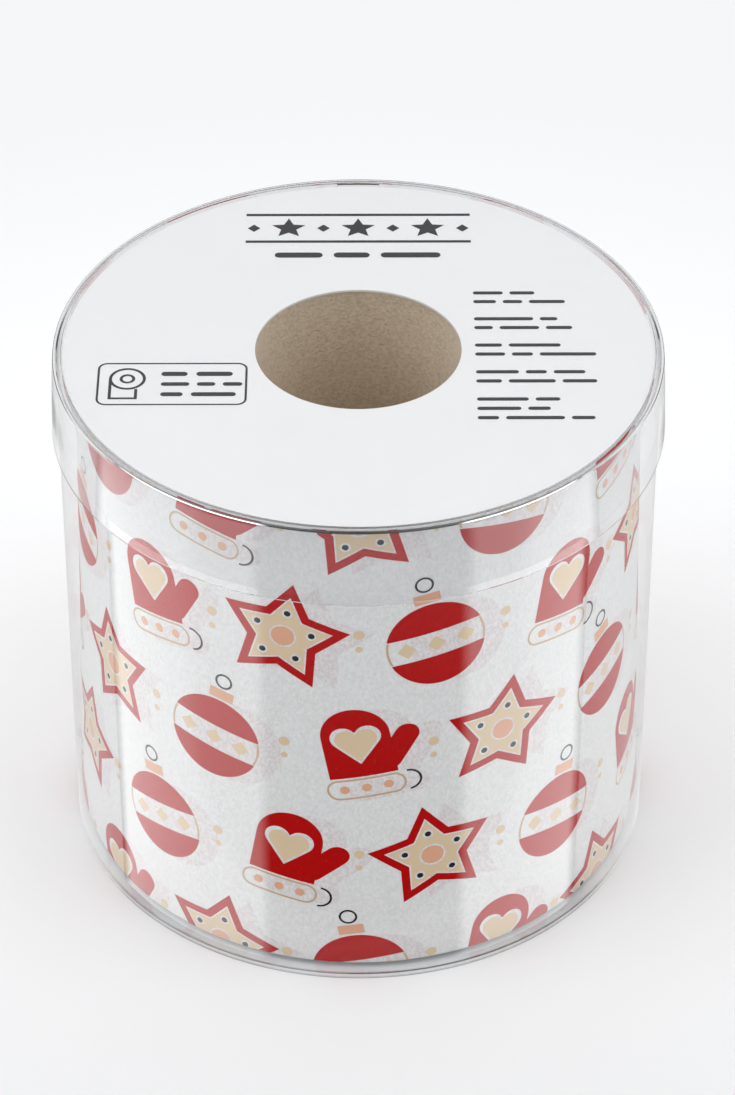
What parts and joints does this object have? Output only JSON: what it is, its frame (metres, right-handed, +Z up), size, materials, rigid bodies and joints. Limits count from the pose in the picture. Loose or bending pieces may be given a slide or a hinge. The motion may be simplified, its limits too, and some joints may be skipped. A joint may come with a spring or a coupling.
{
  "type": "toilet paper roll in a clear drum",
  "caption": "Printed toilet paper roll standing in a clear round drum, with a round label card under its press-on clear lid.",
  "frame": {"origin": "middle of the drum's foot, on the surface it stands on", "axes": "+Z up along the axis of the drum and roll; the drum's lap seam faces +Y, and the card reads upright seen from -Y"},
  "size_m": [0.1116, 0.1116, 0.1051],
  "materials": {
    "clear_sheet": "clear polished sheet",
    "tissue": "soft creped tissue",
    "kraft_board": "grey-brown kraft board",
    "white_card": "smooth white card",
    "grey_ink": "matt print",
    "red_ink": "matt print",
    "beige_ink": "matt print",
    "peach_ink": "matt print",
    "tan_ink": "matt print",
    "dark_ink": "matt print"
  },
  "bodies": {
    "drum": {"drum_wall": "clear_sheet", "drum_floor": "clear_sheet", "paper_roll": "tissue", "core_tube": "kraft_board", "label_card": "white_card", "label_print": "grey_ink", "print_red": "red_ink", "print_beige": "beige_ink", "print_peach": "peach_ink", "print_tan": "tan_ink", "print_line": "dark_ink"},
    "lid": {"lid_band": "clear_sheet", "lid_disc": "clear_sheet"}
  },
  "joints": [
    {"name": "lid_slide", "type": "slide", "parent": "drum", "child": "lid", "axis": [0, 0, 1], "range_m": [0, 0.035]}
  ]
}
